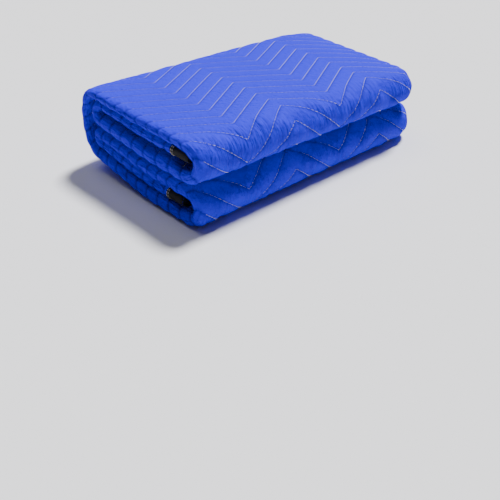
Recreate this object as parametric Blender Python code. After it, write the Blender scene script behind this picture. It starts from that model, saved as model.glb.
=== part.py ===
"""A quilted moving blanket, folded in four along its length and then back and forth into six panels.

The strip of four plies is one section in the Y-Z plane, run along X. +Z is up, the bulges face -Y and the
spine faces +Y. The origin is on the ground, under the middle of the folded blanket. All sizes are metres.
"""

import math

import bpy
import numpy as np

# A panel's heights are those of its middle line. front_left and front_right are at the bulges, where the
# upper bulge gapes at the left end and pinch is added at the right end, and back is at the spine. left and
# right are where the panel ends in X, and rows is the number of mesh rows in one of its channels.
PANEL_COLUMNS = ("name", "front_left", "front_right", "pinch", "back", "thick", "left", "right", "rows")
PANELS = (
    ("upper_flap", 0.1110, 0.1070, 0.0000, 0.1125, 0.0180, -0.2440, 0.2470, 2),
    ("upper_middle", 0.0805, 0.0805, 0.0065, 0.0840, 0.0230, -0.2500, 0.2485, 2),
    ("top", 0.1310, 0.1270, 0.0000, 0.1325, 0.0200, -0.2480, 0.2500, 4),
    ("bottom", 0.0110, 0.0110, 0.0000, 0.0110, 0.0220, -0.2500, 0.2490, 2),
    ("lower_middle", 0.0565, 0.0565, 0.0000, 0.0565, 0.0230, -0.2490, 0.2475, 2),
    ("lower_flap", 0.0336, 0.0336, 0.0000, 0.0336, 0.0210, -0.2450, 0.2460, 2),
)
# A turn joins each panel to the next. side is +1 at the spine and -1 at the bulges, reach is the Y of
# its middle line, depth its extent in Y, square the exponent of its curve, and chevron how far its
# channels zigzag.
TURN_COLUMNS = ("name", "side", "reach", "depth", "square", "left", "right", "rows", "chevron")
TURNS = (
    ("upper_nose", 1, 0.1180, 0.0140, 2.0, -0.2480, 0.2480, 8, 0.0),
    ("upper_bulge", -1, -0.1490, 0.0340, 2.2, -0.2480, 0.2360, 4, 1.0),
    ("spine", 1, 0.1490, 0.0460, 2.7, -0.2490, 0.2460, 4, 1.0),
    ("lower_bulge", -1, -0.1475, 0.0280, 2.3, -0.2490, 0.2420, 4, 1.0),
    ("lower_nose", 1, 0.1200, 0.0125, 2.0, -0.2470, 0.2460, 8, 0.0),
)
UPPER_END_Y = -0.1270
LOWER_END_Y = -0.1120

LEFT_X = -0.2500
LENGTH = 0.5000
SINK_TO_RIGHT = 0.085
SINK_AT_EDGE = 0.045
SINK_EDGE_FROM = 0.840
PINCH_FROM = 0.820
CROWN = 0.040
SPINE_TAPER_LEFT = 0.0070
SPINE_TAPER_RIGHT = 0.0060
SPINE_TAPER_REACH = 0.0700
BULGE_TAPER = 0.0230
BULGE_TAPER_REACH = 0.0450
BULGE_TAPER_FROM = 0.0950
HALF_WIDTH = 0.1590
CORNER_LIFT = 0.0200
CORNER_LIFT_X = (-0.1100, -0.2500)
CORNER_LIFT_Y = (-0.0400, 0.1400)
CORNER_LIFT_TOP = 0.1650

CHANNEL = 0.0278
CHANNEL_PHASE = 0.0010
CHANNEL_DEPTH = 0.0024
CHEVRON_HALF_PERIOD = 0.0992
CHEVRON_PEAK_X = -0.0517
CHEVRON_RISE = 0.0590
COLUMNS_PER_HALF_PERIOD = 5
SHOWS_BEYOND = 0.0400
EDGE_SHIFT_IN = 0.0100

BINDING_WIDTH = 0.0420
BINDING_SET_IN = 0.0012
PIECE_GAP = 0.0004
SIDE_GAP = 0.0012
SLIT = 0.0024
MIDLINE_STEP = 0.0010
PLIES = 4
LEFT_ARC_STEPS = 6
RIGHT_ARC_STEPS = 3
INNER_COLUMNS = 4
BINDING_PANEL_ROWS = 3
BINDING_TURN_ROWS = 12
TURN_POINTS = 241
# The share of a column's step that is kept free beside a rounded end.
COLUMN_ROOM = 0.4
# How deep a channel is on the left bend, as a share of its depth on the panels.
DENT_ON_BEND = 0.8
# The tape at a free end: the distance from that end, and its thickness as a share of the strip's.
END_TAPE_PROFILE = ((0.0, 0.62), (0.0035, 0.88), (0.0120, 0.93), (BINDING_WIDTH, 0.93))

BLUE = (0.050, 0.105, 0.560, 1.0)
BLACK = (0.010, 0.010, 0.012, 1.0)
CLOTH_ROUGHNESS = 0.85
TAPE_ROUGHNESS = 0.7


def rows_of(columns, table):
    return [dict(zip(columns, row)) for row in table]


PANEL_ROWS = rows_of(PANEL_COLUMNS, PANELS)
TURN_ROWS = rows_of(TURN_COLUMNS, TURNS)


def smooth(t):
    t = np.clip(t, 0.0, 1.0)
    return t * t * (3.0 - 2.0 * t)


def even_steps(y, z, count):
    """The line through y, z as count + 1 points at even steps of length, and its length."""
    along = np.concatenate([[0.0], np.cumsum(np.hypot(np.diff(y), np.diff(z)))])
    at = np.linspace(0.0, along[-1], count + 1)
    return np.interp(at, along, y), np.interp(at, along, z), along[-1]


def height(panel, side, across):
    """The height of a panel's middle where it meets a turn on this side."""
    if side > 0:
        return panel["back"]
    pinch = float(smooth((across - PINCH_FROM) / (1.0 - PINCH_FROM)))
    front = panel["front_left"] + across * (panel["front_right"] - panel["front_left"])
    return front + pinch * panel["pinch"]


def turn_line(turn, before, after, across):
    centre = turn["reach"] - turn["side"] * turn["depth"]
    first = height(before, turn["side"], across)
    last = height(after, turn["side"], across)
    angle = np.linspace(0.0, math.pi, TURN_POINTS)
    power = 2.0 / turn["square"]
    swing = np.sign(np.cos(angle)) * np.abs(np.cos(angle)) ** power
    y = centre + turn["side"] * turn["depth"] * np.abs(np.sin(angle)) ** power
    z = (first + last) / 2 + (first - last) / 2 * swing
    y[-1] = centre
    return y, z


def section_lines(across):
    """The middle line of the strip as one (y, z) line for each panel and turn in order.

    across is 0 at the left end and 1 at the right end."""
    turns = [
        turn_line(turn, PANEL_ROWS[i], PANEL_ROWS[i + 1], across) for i, turn in enumerate(TURN_ROWS)
    ]
    lines = []
    for i, panel in enumerate(PANEL_ROWS):
        if i == 0:
            start = (UPPER_END_Y, height(panel, -1, across))
        else:
            start = (turns[i - 1][0][-1], turns[i - 1][1][-1])
        if i == len(TURN_ROWS):
            end = (LOWER_END_Y, height(panel, -1, across))
        else:
            end = (turns[i][0][0], turns[i][1][0])
        lines.append((np.array([start[0], end[0]]), np.array([start[1], end[1]])))
        if i < len(TURN_ROWS):
            lines.append(turns[i])
    return lines


MID_LENGTHS = [even_steps(y, z, 1)[2] for y, z in section_lines(0.5)]
STEPS = [max(4, round(length / MIDLINE_STEP)) for length in MID_LENGTHS]
ENDS = np.concatenate([[0.0], np.cumsum(MID_LENGTHS)])
TOTAL = ENDS[-1]
ALONG = np.concatenate([
    np.linspace(ENDS[i], ENDS[i + 1], count + 1)[:-1] for i, count in enumerate(STEPS)
] + [[TOTAL]])


def midline(across):
    """y, z and the unit normal towards the strip's outer side, at each value of ALONG."""
    y, z = [], []
    for (line_y, line_z), count in zip(section_lines(across), STEPS):
        even_y, even_z, _ = even_steps(line_y, line_z, count)
        y.append(even_y[:-1])
        z.append(even_z[:-1])
    y = np.concatenate(y + [even_y[-1:]])
    z = np.concatenate(z + [even_z[-1:]])
    step_y = np.gradient(y)
    step_z = np.gradient(z)
    size = np.hypot(step_y, step_z)
    return y, z, -step_z / size, step_y / size


def along_strip(column):
    """A panel and turn column as a smooth function of the distance along the strip."""
    at, value = [], []
    for i, panel in enumerate(PANEL_ROWS):
        if column in panel:
            at += [ENDS[2 * i], ENDS[2 * i + 1]]
            value += [panel[column]] * 2
        if i < len(TURN_ROWS) and column in TURN_ROWS[i]:
            at.append((ENDS[2 * i + 1] + ENDS[2 * i + 2]) / 2)
            value.append(TURN_ROWS[i][column])
    return lambda s: np.interp(s, at, value)


thickness = along_strip("thick")
left_end = along_strip("left")
right_end = along_strip("right")
chevron_share = along_strip("chevron")


def chevron(x):
    """How far a channel is moved along the strip at x: a triangle wave between its peaks and valleys."""
    phase = np.abs((x - CHEVRON_PEAK_X) / CHEVRON_HALF_PERIOD) % 2.0
    return CHEVRON_RISE / 2 * (1.0 - 2.0 * np.minimum(phase, 2.0 - phase))


def settle(x, y, z):
    """The fold leans down to the right, crowns, lifts under one corner, and draws in at its corners."""
    across = (x - LEFT_X) / LENGTH
    edge = np.clip((across - SINK_EDGE_FROM) / (1.0 - SINK_EDGE_FROM), 0.0, 1.0) ** 2
    z = z * (1.0 - SINK_TO_RIGHT * across - SINK_AT_EDGE * edge)
    middle = np.clip(1.0 - (2.0 * across - 1.0) ** 2, 0.0, 1.0)
    middle = middle * np.clip(1.0 - (y / HALF_WIDTH) ** 2, 0.0, 1.0)
    z = z * (1.0 + CROWN * middle)
    near_left = (x - CORNER_LIFT_X[0]) / (CORNER_LIFT_X[1] - CORNER_LIFT_X[0])
    near_spine = (y - CORNER_LIFT_Y[0]) / (CORNER_LIFT_Y[1] - CORNER_LIFT_Y[0])
    room = np.clip(1.0 - z / CORNER_LIFT_TOP, 0.0, 1.0)
    z = z + CORNER_LIFT * smooth(near_left) * smooth(near_spine) * room
    from_left = (x - LEFT_X) / SPINE_TAPER_REACH
    from_right = (LEFT_X + LENGTH - x) / SPINE_TAPER_REACH
    spine = SPINE_TAPER_LEFT * np.clip(1.0 - from_left, 0.0, 1.0) ** 2
    spine = spine + SPINE_TAPER_RIGHT * np.clip(1.0 - from_right, 0.0, 1.0) ** 2
    spine = spine * np.clip(y / HALF_WIDTH, 0.0, 1.0)
    from_end = (LEFT_X + LENGTH - x) / BULGE_TAPER_REACH
    outward = np.clip((-y - BULGE_TAPER_FROM) / (HALF_WIDTH - BULGE_TAPER_FROM), 0.0, 1.0)
    bulge = BULGE_TAPER * np.clip(1.0 - from_end, 0.0, 1.0) ** 2 * outward
    return x, y - spine + bulge, z


class Strip:
    """Points of the strip from the distance along it, the X, and the height above its middle line."""

    def __init__(self):
        self.lines = {}

    def point(self, s, x, rise):
        across = round(min(max((x - LEFT_X) / LENGTH, 0.0), 1.0), 3)
        if across not in self.lines:
            self.lines[across] = midline(across)
        y, z, normal_y, normal_z = self.lines[across]
        at_y = np.interp(s, ALONG, y) + rise * np.interp(s, ALONG, normal_y)
        at_z = np.interp(s, ALONG, z) + rise * np.interp(s, ALONG, normal_z)
        return settle(x, at_y, max(at_z, 0.0))


STRIP = Strip()


def channel_rows(start, end):
    """(s, dent) of each row between start and end, where dent is 1 in a sewn channel and 0 on a crest."""
    rows = [(start, 0.5)]
    margin = CHANNEL / 8
    first = math.floor((start - CHANNEL_PHASE) / CHANNEL)
    last = math.ceil((end - CHANNEL_PHASE) / CHANNEL)
    for index in range(first, last):
        base = CHANNEL_PHASE + index * CHANNEL
        part = int(np.searchsorted(ENDS, base + CHANNEL / 2, side="right")) - 1
        part = min(max(part, 0), len(MID_LENGTHS) - 1)
        row = PANEL_ROWS[part // 2] if part % 2 == 0 else TURN_ROWS[part // 2]
        for step in range(row["rows"]):
            share = step / row["rows"]
            s = base + share * CHANNEL
            if start + margin < s < end - margin:
                rows.append((s, 1.0 - math.sin(math.pi * share)))
    return rows + [(end, 0.5)]


def outer_columns(pitch):
    """The X of the columns on the strip's outer face, between its two rounded ends."""
    most = int(LENGTH / pitch)
    columns = [CHEVRON_PEAK_X + i * pitch for i in range(-most, most)]
    room = COLUMN_ROOM * CHEVRON_HALF_PERIOD / COLUMNS_PER_HALF_PERIOD
    thickest = max(panel["thick"] for panel in PANEL_ROWS)
    return [x for x in columns if LEFT_X + thickest + room < x < LEFT_X + LENGTH - thickest / 2 - room]


MANY_COLUMNS = outer_columns(CHEVRON_HALF_PERIOD / COLUMNS_PER_HALF_PERIOD)
FEW_COLUMNS = outer_columns(CHEVRON_HALF_PERIOD)


def shows(s):
    """Whether the strip's outer face is in the open here: the bulges, the top and the spine."""
    upper = ENDS[3] - SHOWS_BEYOND < s < ENDS[6] + SHOWS_BEYOND
    lower = ENDS[7] - SHOWS_BEYOND < s < ENDS[8] + SHOWS_BEYOND
    return upper or lower


def cloth_ring(s, dent):
    """One ring round the strip: its outer face, its right end, its inner face and its left bend."""
    share = float(chevron_share(s))
    on_ground = ENDS[6] < s < ENDS[7]
    depth = 0.0 if on_ground else CHANNEL_DEPTH * dent
    ring = []

    def add(shift, x_of, rise_of):
        at = s + share * shift
        thick = float(thickness(at))
        x = x_of(float(left_end(at)), float(right_end(at)), thick)
        ring.append(STRIP.point(at, x, rise_of(thick)))

    first_shift = chevron(LEFT_X + EDGE_SHIFT_IN)
    last_shift = chevron(LEFT_X + LENGTH - EDGE_SHIFT_IN)
    add(first_shift, lambda left, right, thick: left + thick / 2, lambda thick: thick / 2 - depth)
    for x in MANY_COLUMNS if shows(s) else FEW_COLUMNS:
        add(chevron(x), lambda left, right, thick, x=x: x, lambda thick: thick / 2 - depth)
    add(last_shift, lambda left, right, thick: right - thick / PLIES, lambda thick: thick / 2 - depth)
    for step in range(1, RIGHT_ARC_STEPS + 1):
        angle = math.pi / 2 - math.pi * step / RIGHT_ARC_STEPS
        out = 1.0 - math.cos(angle)
        up = (1.0 + math.sin(angle)) / 2
        add(
            last_shift,
            lambda left, right, thick, out=out: right - out * thick / PLIES,
            lambda thick, up=up: SLIT / 2 + up * (thick / 2 - SLIT / 2),
        )
    for rise_of in (lambda thick: SLIT / 2, lambda thick: -thick / 2):
        add(last_shift, lambda left, right, thick: right - BINDING_WIDTH - SIDE_GAP, rise_of)
    for step in range(1, INNER_COLUMNS + 1):
        part = step / INNER_COLUMNS
        add(
            last_shift + part * (first_shift - last_shift),
            lambda left, right, thick, part=part: (
                (1.0 - part) * (right - BINDING_WIDTH - SIDE_GAP) + part * (left + thick / 2)
            ),
            lambda thick: -thick / 2,
        )
    for step in range(1, LEFT_ARC_STEPS):
        angle = math.pi * step / LEFT_ARC_STEPS
        dip = DENT_ON_BEND * depth * math.sin(angle)
        add(
            first_shift,
            lambda left, right, thick, angle=angle, dip=dip: (
                left + thick / 2 - (thick / 2 - dip) * math.sin(angle)
            ),
            lambda thick, angle=angle, dip=dip: -(thick / 2 - dip) * math.cos(angle),
        )
    return ring


def binding_bar_ring(s, inner_ply):
    """One ring of the tape on a ply's edge at the right end. The inner ply is the one on the inner face."""
    thick = float(thickness(s))
    ply = thick / PLIES
    low = -thick / 2 + (0.0 if inner_ply else ply) + PIECE_GAP / 2
    high = low + ply - PIECE_GAP - (0.0 if inner_ply else SLIT / 2)
    inside = float(right_end(s)) - BINDING_WIDTH
    outside = float(right_end(s)) - BINDING_SET_IN
    nose = outside - ply / 2
    corners = ((inside, high), (nose, high), (outside, (low + high) / 2), (nose, low), (inside, low))
    return [STRIP.point(s, x, rise) for x, rise in corners]


def end_binding_ring(s, squeeze):
    """One ring of the tape on the four edges at a free end of the strip."""
    thick = float(thickness(s)) * squeeze
    left = float(left_end(s))
    right = float(right_end(s))
    bend = thick / 2
    across = [left + bend] + MANY_COLUMNS + [right - bend / 2]
    ring = [STRIP.point(s, x, bend) for x in across]
    ring.append(STRIP.point(s, right, bend / 2))
    ring.append(STRIP.point(s, right - bend / 2, 0.0))
    ring.append(STRIP.point(s, right - BINDING_SET_IN, -bend / 4))
    ring.append(STRIP.point(s, right - BINDING_SET_IN, -bend))
    ring += [STRIP.point(s, x, -bend) for x in reversed(across[:-1])]
    for step in range(1, LEFT_ARC_STEPS):
        angle = math.pi * step / LEFT_ARC_STEPS
        ring.append(STRIP.point(s, left + bend - bend * math.sin(angle), -bend * math.cos(angle)))
    return ring


def binding_rows(start, end):
    """The distances along the strip at which the side tapes have a ring."""
    rows = []
    for part in range(len(MID_LENGTHS)):
        count = BINDING_PANEL_ROWS if part % 2 == 0 else BINDING_TURN_ROWS
        rows += list(np.linspace(ENDS[part], ENDS[part + 1], count + 1)[:-1])
    margin = MIDLINE_STEP * 4
    return [start] + [s for s in rows if start + margin < s < end - margin] + [end]


def between(first, second, points):
    """Triangles between two rings of point numbers, each new edge the shorter of the two on offer."""
    faces = []
    i = 0
    j = 0
    while i < len(first) - 1 or j < len(second) - 1:
        on_first = math.inf
        on_second = math.inf
        if i < len(first) - 1:
            on_first = math.dist(points[first[i + 1]], points[second[j]])
        if j < len(second) - 1:
            on_second = math.dist(points[first[i]], points[second[j + 1]])
        if on_first <= on_second:
            faces.append((first[i], first[i + 1], second[j]))
            i += 1
        else:
            faces.append((first[i], second[j + 1], second[j]))
            j += 1
    return faces


def loft(name, rings, collection, colour, roughness):
    """A closed mesh through rings of points, capped at both ends."""
    points = [tuple(float(value) for value in point) for ring in rings for point in ring]
    starts = [0]
    for ring in rings:
        starts.append(starts[-1] + len(ring))
    loops = [list(range(starts[i], starts[i + 1])) for i in range(len(rings))]
    faces = [tuple(reversed(loops[0])), tuple(loops[-1])]
    for first, second in zip(loops, loops[1:]):
        faces += between(first + first[:1], second + second[:1], points)
    mesh = bpy.data.meshes.new(name)
    mesh.from_pydata(points, [], faces)
    mesh.update()
    for polygon in mesh.polygons:
        polygon.use_smooth = len(polygon.vertices) == 3
    piece = bpy.data.objects.new(name, mesh)
    collection.objects.link(piece)
    material = bpy.data.materials.new(name + "_material")
    material.use_nodes = True
    shader = material.node_tree.nodes["Principled BSDF"]
    shader.inputs["Base Color"].default_value = colour
    shader.inputs["Roughness"].default_value = roughness
    shader.inputs["Metallic"].default_value = 0.0
    mesh.materials.append(material)
    return piece


def build():
    for old in list(bpy.data.objects):
        bpy.data.objects.remove(old)
    collection = bpy.data.collections.new("moving_blanket")
    bpy.context.scene.collection.children.link(collection)
    start = BINDING_WIDTH + PIECE_GAP
    end = TOTAL - start
    rings = [cloth_ring(s, dent) for s, dent in channel_rows(start, end)]
    loft("quilted_cloth", rings, collection, BLUE, CLOTH_ROUGHNESS)
    rows = binding_rows(start + SLIT, end - SLIT)
    for name, inner_ply in (("side_binding_inner", True), ("side_binding_middle", False)):
        loft(name, [binding_bar_ring(s, inner_ply) for s in rows], collection, BLACK, TAPE_ROUGHNESS)
    upper = [end_binding_ring(s, squeeze) for s, squeeze in END_TAPE_PROFILE]
    loft("end_binding_upper", upper, collection, BLACK, TAPE_ROUGHNESS)
    lower = [end_binding_ring(TOTAL - s, squeeze) for s, squeeze in reversed(END_TAPE_PROFILE)]
    loft("end_binding_lower", lower, collection, BLACK, TAPE_ROUGHNESS)


build()
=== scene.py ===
"""A quilted moving blanket as it lies folded: one padded cloth, its sewing, its black tapes and a stage.

Run as a script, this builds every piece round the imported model. Its operators can also be run one by one
from the sidebar of the 3D view. Lengths are metres. +Z is up, the bulges face -Y and the spine faces +Y.
"""

import math

import bpy
import numpy as np
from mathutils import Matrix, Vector


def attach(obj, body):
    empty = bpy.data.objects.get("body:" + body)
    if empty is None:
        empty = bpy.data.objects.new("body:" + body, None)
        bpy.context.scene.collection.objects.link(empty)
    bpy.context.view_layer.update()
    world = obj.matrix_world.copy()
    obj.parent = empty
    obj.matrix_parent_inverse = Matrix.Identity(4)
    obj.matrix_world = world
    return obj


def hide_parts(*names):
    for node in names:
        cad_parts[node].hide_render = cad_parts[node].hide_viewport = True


bl_info = {
    "name": "Folded Moving Blanket",
    "version": (1, 0, 0),
    "blender": (4, 5, 0),
    "location": "View3D > Sidebar > Blanket",
    "description": "Builds a quilted moving blanket folded on the ground",
    "category": "Add Mesh",
}

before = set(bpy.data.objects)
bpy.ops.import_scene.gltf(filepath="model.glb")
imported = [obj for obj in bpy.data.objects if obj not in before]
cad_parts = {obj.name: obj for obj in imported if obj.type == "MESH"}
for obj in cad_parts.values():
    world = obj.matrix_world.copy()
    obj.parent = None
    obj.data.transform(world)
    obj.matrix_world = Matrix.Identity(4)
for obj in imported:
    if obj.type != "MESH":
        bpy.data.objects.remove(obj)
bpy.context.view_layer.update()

# The strip is one section in Y and Z, run along X: six panels of four plies, joined by five turns.
# A panel's heights are those of its middle line. front_left and front_right are at the bulges, where pinch
# is added at the right end, and back is at the spine. left and right are where the panel ends in X.
PANEL_COLUMNS = ("name", "front_left", "front_right", "pinch", "back", "thick", "left", "right")
PANELS = (
    ("upper_flap", 0.1110, 0.1070, 0.0000, 0.1125, 0.0180, -0.2440, 0.2470),
    ("upper_middle", 0.0805, 0.0805, 0.0065, 0.0840, 0.0230, -0.2500, 0.2485),
    ("top", 0.1310, 0.1270, 0.0000, 0.1325, 0.0200, -0.2480, 0.2500),
    ("bottom", 0.0110, 0.0110, 0.0000, 0.0110, 0.0220, -0.2500, 0.2490),
    ("lower_middle", 0.0565, 0.0565, 0.0000, 0.0565, 0.0230, -0.2490, 0.2475),
    ("lower_flap", 0.0336, 0.0336, 0.0000, 0.0336, 0.0210, -0.2450, 0.2460),
)
# A turn joins each panel to the next. side is +1 at the spine and -1 at the bulges, reach is the Y of its
# middle line, depth its extent in Y, square the exponent of its curve, and chevron how far the channels
# zigzag there.
TURN_COLUMNS = ("name", "side", "reach", "depth", "square", "left", "right", "chevron")
TURNS = (
    ("upper_nose", 1, 0.1180, 0.0140, 2.0, -0.2480, 0.2480, 0.0),
    ("upper_bulge", -1, -0.1490, 0.0340, 2.2, -0.2480, 0.2360, 1.0),
    ("spine", 1, 0.1490, 0.0460, 2.7, -0.2490, 0.2460, 1.0),
    ("lower_bulge", -1, -0.1475, 0.0280, 2.3, -0.2490, 0.2420, 1.0),
    ("lower_nose", 1, 0.1200, 0.0125, 2.0, -0.2470, 0.2460, 0.0),
)
UPPER_END_Y = -0.1270
LOWER_END_Y = -0.1120

LEFT_X = -0.2500
LENGTH = 0.5000
SINK_TO_RIGHT = 0.085
SINK_AT_EDGE = 0.045
SINK_EDGE_FROM = 0.840
PINCH_FROM = 0.820
CROWN = 0.040
SPINE_TAPER_LEFT = 0.0070
SPINE_TAPER_RIGHT = 0.0060
SPINE_TAPER_REACH = 0.0700
BULGE_TAPER = 0.0230
BULGE_TAPER_REACH = 0.0450
BULGE_TAPER_FROM = 0.0950
HALF_WIDTH = 0.1590
CORNER_LIFT = 0.0200
CORNER_LIFT_X = (-0.1100, -0.2500)
CORNER_LIFT_Y = (-0.0400, 0.1400)
CORNER_LIFT_TOP = 0.1650
MIDLINE_STEP = 0.0010
ACROSS_STEPS = 50
TURN_POINTS = 241
PLIES = 4

CHEVRON_HALF_PERIOD = 0.0992
CHEVRON_PEAK_X = -0.0517
CHEVRON_RISE = 0.0590
CHANNEL = 0.0278
CHANNEL_PHASE = 0.0010
COLUMNS_PER_HALF_PERIOD = 36
COLUMN_STEP = CHEVRON_HALF_PERIOD / COLUMNS_PER_HALF_PERIOD
# Rows of points across a channel, as shares of it. The first lies on the sewn line and CREST_ROW near the
# crest. HIDDEN_ROWS are those that are kept where the cloth is hidden.
ROW_SHARES = np.array([0.0, 0.07, 0.17, 0.30, 0.43, 0.57, 0.70, 0.83, 0.93])
CREST_ROW = 4
HIDDEN_ROWS = (0, 1, 2, 4, 5, 7, 8)
ROWS_SET_IN = 0.0040
END_ROW_SET_IN = 0.0012
SHOWS_BEYOND = 0.0400
# On a hidden row, one fixed column in so many is kept, and all of them near the left bend.
SPARSE_EVERY = 12
SPARSE_FROM_LEFT = 0.0180

# The padding before it is simulated: the power that rounds its arch, and how rough it is.
PATCH_CHANNELS = 12
PILLOW_POWER = 0.7
PILLOW_ROUGHNESS = 0.0003
PILLOW_SEED = 5
LEAST_CREST = 1e-6
# Every second point of a sewn line is held less firmly.
FIRM_PIN = 1.0
LOOSE_PIN = 0.6
# How much shallower the sewn lines are on the left bends, where the cloth is pulled tight.
FLATTER_AT_BEND = 0.60
BEND_REACH = 0.0120
BEND_STEP = 0.0200

# Where the cloth wrinkles: the turn's number, how much, and where it starts and ends as shares of the turn.
WRINKLED_TURNS = ((1, 1.0, 0.05, 1.00), (3, 0.9, -0.10, 1.10), (2, 0.7, 0.00, 1.00))
WRINKLED_FADE = 0.3
WRINKLED_AT_BEND = 0.85
CLUSTER_MEAN = 0.60
CLUSTER_SWING = 0.80
CLUSTER_WIDTH = 0.026
CLUSTER_LENGTH = 0.022
CLUSTER_SEED = 14
FINE_WRINKLE = 0.0012
FINE_WRINKLE_WIDTH = 0.0080
FINE_WRINKLE_LENGTH = 0.030
BROAD_WRINKLE = 0.0010
BROAD_WRINKLE_WIDTH = 0.022
BROAD_WRINKLE_LENGTH = 0.060
WRINKLE_LEAN = 0.45
WRINKLE_WANDER = 0.0030
WRINKLE_WANDER_SIZE = 0.024
WRINKLE_SEEDS = (12, 15)
LEG_SHARPNESS = 2.0
NOISE_PLACES = 256
TINY = 1e-12

# How much painted shade darkens the grooves of the sewn lines: just before a line, on it, and on both its
# sides on the left bends.
SHADE_BEFORE_LINE = 0.6
SHADE_BEFORE_REACH = 0.20
SHADE_ON_LINE = 0.4
SHADE_ON_BEND = 0.65
SHADE_ON_BEND_REACH = 0.13
SHADE_BEND_FROM = 0.0160
SHADE_BEND_STEP = 0.0100

# Settings of the cloth that the padding lifts: a light polyester weave, cut 0.9 % larger than it is sewn.
CLOTH_FRAMES = 12
CLOTH_SETTINGS = {
    "vertex_group_mass": "sewn",
    "quality": 4,
    "mass": 0.12,
    "tension_stiffness": 12.0,
    "compression_stiffness": 12.0,
    "shear_stiffness": 4.0,
    "bending_stiffness": 0.3,
    "tension_damping": 10.0,
    "compression_damping": 10.0,
    "shear_damping": 10.0,
    "bending_damping": 1.0,
    "air_damping": 5.0,
    "shrink_min": -0.009,
    "use_pressure": True,
    "uniform_pressure_force": 40.0,
}

BINDING_WIDTH = 0.0420
TAPE_SET_IN = 0.0008
PLY_GAP = 0.0006
TAPE_GAP = 0.0002
TAPE_PRESS = 0.0005
# How much thinner the strip is under an end tape, and where that starts.
TAPE_SQUEEZE = 0.07
TAPED_STEP = 0.0020
TAPED_EARLY = 0.0005
# An end tape has one fixed column in so many, and its outer face waves a little.
TAPE_COLUMN_EVERY = 3
TAPE_WAVE = 0.00035
TAPE_WAVE_RATES = (210.0, 61.0)
TAPE_WAVE_DRIFT = 3.0
# The stitches of an end tape: their spacing, how deep their two rows lie, and what of each is seen.
TAPE_STITCH = 0.0048
TAPE_STITCH_DEPTHS = (0.0385, 0.0350)
TAPE_STITCH_SHARE = 0.72
TAPE_STITCH_LIFT = 0.0002
TAPE_STITCHES_WITHIN = 0.0250
# How far a point is moved to find its normal.
NORMAL_STEP = 0.0010
# Rows of an end tape: the distance from the strip's end, and the tape's thickness there as a share of a ply.
END_TAPE_DEPTHS = (
    0.0420, 0.0418, 0.0395, 0.0360, 0.0310, 0.0260, 0.0210, 0.0160, 0.0110, 0.0060, 0.0025, 0.0008, 0.0
)
END_TAPE_SHARES = (0.72, 0.96, 1.0, 1.0, 1.0, 1.0, 1.0, 1.0, 1.0, 1.0, 0.97, 0.70, 0.25)
# Side tapes: the middle of the ply, as a share of the strip's thickness, and the solid each stands for.
SIDE_TAPES = ((-0.375, "side_binding_inner"), (-0.125, "side_binding_middle"))
SIDE_TAPE_SET_IN = 0.0020
SIDE_TAPE_STEP = 0.0040
SIDE_NOSE_POINTS = 8
SIDE_FLAT_STEPS = 5
SIDE_INNER_EDGE = 0.8

# Rings along a stitch, from hole to hole, and how wide the thread is at each, as a share of its radius.
STITCH_RINGS = np.array([-1.0, -0.82, -0.3, 0.3, 0.82, 1.0])
STITCH_WIDTHS = np.array([0.55, 1.0, 1.0, 1.0, 1.0, 0.55])
STITCH_SIDES = 5
STITCH_LIFT = 1.25
STITCH_SINK = 2.2
# Stitches are made where they show: near both ends, but not on the ground and not on the left bends.
STITCHES_NEAR_END = 0.0300
STITCHES_ABOVE = 0.0010
STITCHES_FROM_LEFT = 0.0130

# A wave texture of Scale 1 repeats every 0.314 m, so its Scale is this over the pitch.
WAVE_PITCH = 0.314
TAPE_RIB = 0.0016
# The colour sockets of a Mix node, and the shades that are mixed as shares of a material's own colour.
COLOUR_A = 6
COLOUR_B = 7
COLOUR_OUT = 2
# The cloth's deepest share below is painted shade, mixed in where shade falls in the grooves of the sewn
# lines.
CLOTH_PAINTED_SHADE = 0.22
CLOTH_PALE = (0.80, 0.80, 0.84)
THREAD_DEEP = 0.72
THREAD_SHEEN = 0.1
TAPE_THREAD_SHEEN = 0.05
TAPE_DEEP = 0.6
TAPE_PALE = 1.6
FLOOR_DEEP = 0.985

# The lights: name, place, strength and spread as an angle. Only the direction of the place counts.
LIGHTS = (
    ("key_light", (1.05, 0.16, 2.05), 6.5, 0.22),
    ("rim_light", (-0.20, 0.70, 2.10), 0.6, 0.60),
)
WORLD_STRENGTH = 0.07
FLOOR_BELOW = 0.0005
CAMERA_SENSOR = 36.0
CAMERA_LENS = 57.8
CAMERA_AZIMUTH = 0.73186
CAMERA_ELEVATION = 0.58869
CAMERA_BACK = 1.4181
CAMERA_LEFT = 0.00273
CAMERA_DOWN = 0.18066
CAMERA_Y = 0.0070


def linear(hexcode):
    """An sRGB hex colour as linear red, green and blue.

    Each is c / 12.92 up to 0.04045, and ((c + 0.055) / 1.055) ** 2.4 above it."""
    values = [int(hexcode[i : i + 2], 16) / 255 for i in (1, 3, 5)]
    return [v / 12.92 if v <= 0.04045 else ((v + 0.055) / 1.055) ** 2.4 for v in values]


def length(name, description, default):
    """A length that a user may change, in metres."""
    return bpy.props.FloatProperty(
        name=name, description=description, default=default, unit="LENGTH", precision=5
    )


def colour(name, description, hexcode):
    """A colour that a user may change, from its sRGB hex value."""
    return bpy.props.FloatVectorProperty(
        name=name,
        description=description,
        default=linear(hexcode),
        subtype="COLOR",
        size=3,
        min=0.0,
        max=1.0,
    )


class BlanketSizes(bpy.types.PropertyGroup):
    """Sizes of the sewing and of the stage."""

    pillow: length("Pillow height", "Height of the padding between two sewn lines", 0.0018)
    thread: length("Thread radius", "Radius of the quilting thread", 0.00070)
    tape_thread: length("Tape thread radius", "Radius of the thread that holds the tapes", 0.00055)
    stitch_share: bpy.props.FloatProperty(
        name="Stitch share",
        description="Part of each stitch that lies on the cloth",
        default=0.50,
        subtype="FACTOR",
    )
    weave: length("Weave pitch", "Spacing of the yarns that the weave pattern draws", 0.0011)
    floor: length("Floor size", "Side of the square floor", 40.0)


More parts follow.
